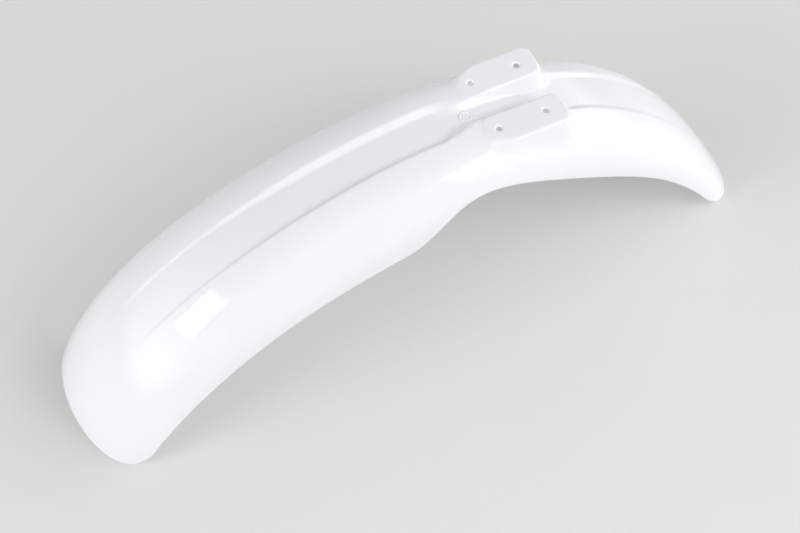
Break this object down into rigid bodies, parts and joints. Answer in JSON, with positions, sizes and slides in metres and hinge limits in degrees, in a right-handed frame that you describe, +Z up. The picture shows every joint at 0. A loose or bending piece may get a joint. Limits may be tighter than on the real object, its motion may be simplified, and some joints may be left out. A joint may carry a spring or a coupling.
{
  "type": "motorcycle front mudguard",
  "caption": "Long arched front mudguard moulded in white plastic, with a sunken crown channel, fork-leg notches in its rim and raised pads that bolt up under the fork bridge.",
  "frame": {"origin": "centre of the bolt holes, in the top plane of the pads", "axes": "+X forward to the nose, +Y to the left side, +Z up along the bolts"},
  "size_m": [0.7897, 0.1932, 0.2622],
  "materials": {
    "shell": "glossy white, as moulded"
  },
  "bodies": {
    "root": {"mudguard": "shell"}
  },
  "joints": []
}
